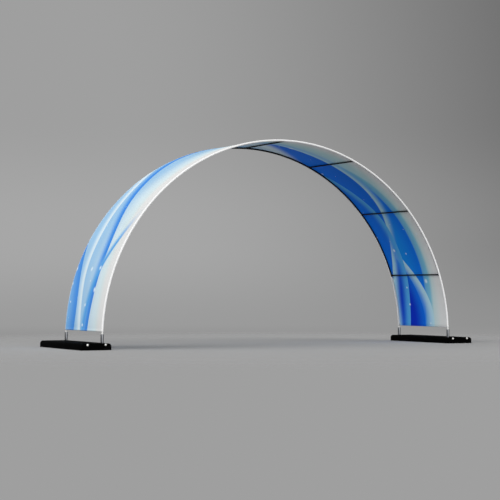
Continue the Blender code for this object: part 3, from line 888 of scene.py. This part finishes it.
def make_base(side, material):
    """A block with its two long top edges well rounded, and the rims of its ends eased."""
    low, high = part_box(f"base_{side}")
    size = high - low
    middle = (low + high) / 2
    bm = bmesh.new()
    bmesh.ops.create_cube(bm, size=1.0)
    bmesh.ops.scale(bm, vec=size, verts=bm.verts)
    bmesh.ops.translate(bm, verts=bm.verts, vec=middle)
    long_top = [edge for edge in bm.edges
                if all(vert.co.z > middle.z for vert in edge.verts)
                and abs(edge.verts[0].co.y - edge.verts[1].co.y) > size.y / 2]
    bmesh.ops.bevel(bm, geom=long_top, offset=BASE_ROUNDING, offset_type="OFFSET", segments=16,
                    profile=0.5, affect="EDGES")
    rims = [edge for edge in bm.edges
            if abs(edge.verts[0].co.y - edge.verts[1].co.y) < size.y / 2 and edge.is_manifold]
    bmesh.ops.bevel(bm, geom=rims, offset=BASE_RIM, offset_type="OFFSET", segments=3,
                    profile=0.5, affect="EDGES")
    return link(f"ballast_base_{side}", mesh_from(bm, f"ballast_base_{side}", 25), material)


# Stage, light and camera

CAMERA_PLACE = (-11.371, -20.919, 0.843)
CAMERA_TURN = (91.533, 0.0, -28.026)
CAMERA_LENS = 109.81

FLOOR_REACH = 24.0
FLOOR_TONE = 2.5            # the floor's tone drifts over about this length
FLOOR_FADE_START = 3.8      # the floor fades out into the surround between these distances
FLOOR_FADE_END = 8.2

# The surround's light, by direction. A pair gives where a change starts and where it is full. For a side
# that is how squarely a direction faces it, up to 1, and for a height how far it points up, from 0 level.
SURROUND = 0.347            # even light of the wall behind the arch, and of what lies past the floor
ROOM = 0.16                 # the rest of the room is darker
WALL_SIDE = (0.470, 0.883, 0.0)         # the wall stands on this side
WALL_START, WALL_FULL = 0.3, 0.9
SHADE = 0.03                # light of the wall at its darkest
SHADE_SIDE = (0.856, -0.485, 0.18)      # it is darker towards this side, to the far right
SHADE_START, SHADE_FULL = -0.10, 0.40
LOW_GLOW = 0.039            # the wall is a little lighter low down
GLOW_START, GLOW_FULL = 0.1135, 0.043
FAR_GROUND = 0.303          # light of the ground far behind, which the wall takes on where they meet
HORIZON_HAZE = 0.7          # share of it that the wall takes on
HAZE_START, HAZE_FULL = 0.030, -0.028
GROUND_START, GROUND_FULL = -0.0215, -0.029
NEARER_START, NEARER_FULL = -0.031, -0.043          # nearer, the ground is as light as the wall
SOFT_LIGHTS = [             # large soft lights, left and front: their side, where they start, strength
    ((-0.766, 0.0, 0.643), 0.72, 2.38),
    ((0.02, -0.866, 0.5), 0.66, 1.95),
]


def make_floor():
    """Matt grey vinyl floor: plain, a little uneven in tone, and lost in the surround further out."""
    material, tree = new_material("matt_grey_floor_vinyl", {
        "Base Color": srgb("#ADADAD"), "Roughness": 0.9, "Specular IOR Level": 0.05})
    place = add(tree, "ShaderNodeTexCoord")["Object"]
    tone = add(tree, "ShaderNodeTexNoise", {}, {
        "Vector": place, "Scale": 1 / FLOOR_TONE, "Detail": 2.0})["Fac"]
    colour = add(tree, "ShaderNodeMix", COLOUR_MIX, {
        SHARE: tone, UNDER: srgb("#ABABAB"), OVER: srgb("#AFAFAF")})[MIXED]
    distance = add(tree, "ShaderNodeVectorMath", {"operation": "LENGTH"}, {0: place})["Value"]
    seen = add(tree, "ShaderNodeMapRange", SMOOTH, {
        "Value": distance, "From Min": FLOOR_FADE_END, "From Max": FLOOR_FADE_START})[0]
    feed_shader(tree, {"Base Color": colour, "Alpha": seen})
    bm = bmesh.new()
    bmesh.ops.create_circle(bm, cap_ends=True, segments=96, radius=FLOOR_REACH)
    link("studio_floor", mesh_from(bm, "studio_floor"), material)


def make_surround():
    """An even lit wall behind the arch, in a darker room with soft lights to the left and in front.

    The wall is darker to the far right and a little lighter low down, and hazy where it meets the ground.
    """
    world = bpy.data.worlds.new("studio_surround")
    world.use_nodes = True
    tree = world.node_tree
    direction = add(tree, "ShaderNodeTexCoord")["Generated"]
    height = add(tree, "ShaderNodeSeparateXYZ", {}, {"Vector": direction})["Z"]

    to_shade = add(tree, "ShaderNodeVectorMath", {"operation": "DOT_PRODUCT"}, {
        0: direction, 1: SHADE_SIDE})["Value"]
    wall = add(tree, "ShaderNodeMapRange", SMOOTH, {
        "Value": to_shade, "From Min": SHADE_START, "From Max": SHADE_FULL,
        "To Min": SURROUND, "To Max": SHADE})[0]
    low = add(tree, "ShaderNodeMapRange", SMOOTH, {
        "Value": height, "From Min": GLOW_START, "From Max": GLOW_FULL, "To Max": LOW_GLOW})[0]
    wall = add(tree, "ShaderNodeMath", {"operation": "ADD"}, {0: wall, 1: low})[0]
    haze = add(tree, "ShaderNodeMapRange", SMOOTH, {
        "Value": height, "From Min": HAZE_START, "From Max": HAZE_FULL, "To Max": HORIZON_HAZE})[0]
    wall = add(tree, "ShaderNodeMix", VALUE_MIX, {
        SHARE: haze, VALUE_UNDER: wall, VALUE_OVER: FAR_GROUND})[0]

    ground = add(tree, "ShaderNodeMapRange", SMOOTH, {
        "Value": height, "From Min": NEARER_START, "From Max": NEARER_FULL,
        "To Min": FAR_GROUND, "To Max": SURROUND})[0]
    below = add(tree, "ShaderNodeMapRange", SMOOTH, {
        "Value": height, "From Min": GROUND_START, "From Max": GROUND_FULL})[0]
    behind = add(tree, "ShaderNodeMix", VALUE_MIX, {
        SHARE: below, VALUE_UNDER: wall, VALUE_OVER: ground})[0]

    to_wall = add(tree, "ShaderNodeVectorMath", {"operation": "DOT_PRODUCT"}, {
        0: direction, 1: WALL_SIDE})["Value"]
    near_wall = add(tree, "ShaderNodeMapRange", SMOOTH, {
        "Value": to_wall, "From Min": WALL_START, "From Max": WALL_FULL})[0]
    light = add(tree, "ShaderNodeMix", VALUE_MIX, {
        SHARE: near_wall, VALUE_UNDER: ROOM, VALUE_OVER: behind})[0]
    for side, start, strength in SOFT_LIGHTS:
        facing = add(tree, "ShaderNodeVectorMath", {"operation": "DOT_PRODUCT"}, {
            0: direction, 1: side})["Value"]
        glow = add(tree, "ShaderNodeMapRange", SMOOTH, {
            "Value": facing, "From Min": start, "From Max": 1.0, "To Max": strength})[0]
        light = add(tree, "ShaderNodeMath", {"operation": "ADD"}, {0: light, 1: glow})[0]
    tree.links.new(light, tree.nodes["Background"].inputs["Strength"])
    tree.nodes["Background"].inputs["Color"].default_value = (1.0, 1.0, 1.0, 1.0)
    scene.world = world


def make_camera():
    data = bpy.data.cameras.new("photo_view")
    data.lens = CAMERA_LENS
    data.sensor_width = 36.0
    data.clip_end = 200.0
    camera = bpy.data.objects.new("photo_view", data)
    scene.collection.objects.link(camera)
    camera.location = CAMERA_PLACE
    camera.rotation_euler = [math.radians(turn) for turn in CAMERA_TURN]
    scene.camera = camera


def settle(piece, slot, *nodes):
    """Puts a finished piece in the model: it rides on the body and stands for its nodes. Its slot is not
    used.
    """
    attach(piece, "root")
    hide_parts(*nodes)


def main():
    make_floor()
    make_surround()
    make_camera()

    chrome, zinc = chrome_plate(), zinc_flake()
    shell, webbing = moulded_shell(), woven_tape()
    white_coat = powder_coat("white_powder_coated_steel", thin="#EFEEEA", thick="#F6F6F4",
                             roughness=0.32, shine=0.45, lump=0.003, relief=0.00005)
    black_coat = powder_coat("black_powder_coated_steel", thin="#040507", thick="#08090C",
                             roughness=0.55, shine=0.15, lump=0.002, relief=0.00008)

    cover = make_cover(printed_knit())
    settle(cover, "printed_cloth", "cloth_cover")
    stitching = make_stitching(sewing_thread())
    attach(stitching, "root")
    hoops = make_hoops(white_coat)
    settle(hoops, "white_tube", *HOOPS)
    settle(make_bars(black_coat), "dark_bar", *BARS)
    settle(make_posts(chrome), "bright_metal", *POSTS)
    settle(make_bolts(zinc), "bright_metal", *BOLTS)
    for side in SIDES:
        settle(make_base(side, shell), "black_base", f"base_{side}")
    for end in ENDS:
        tape = make_tape(end, webbing)
        settle(tape, "closing_tape", *[f"closing_tape_{end}_{number}" for number in range(1, 9)])

    scene.view_settings.view_transform = "Standard"


main()
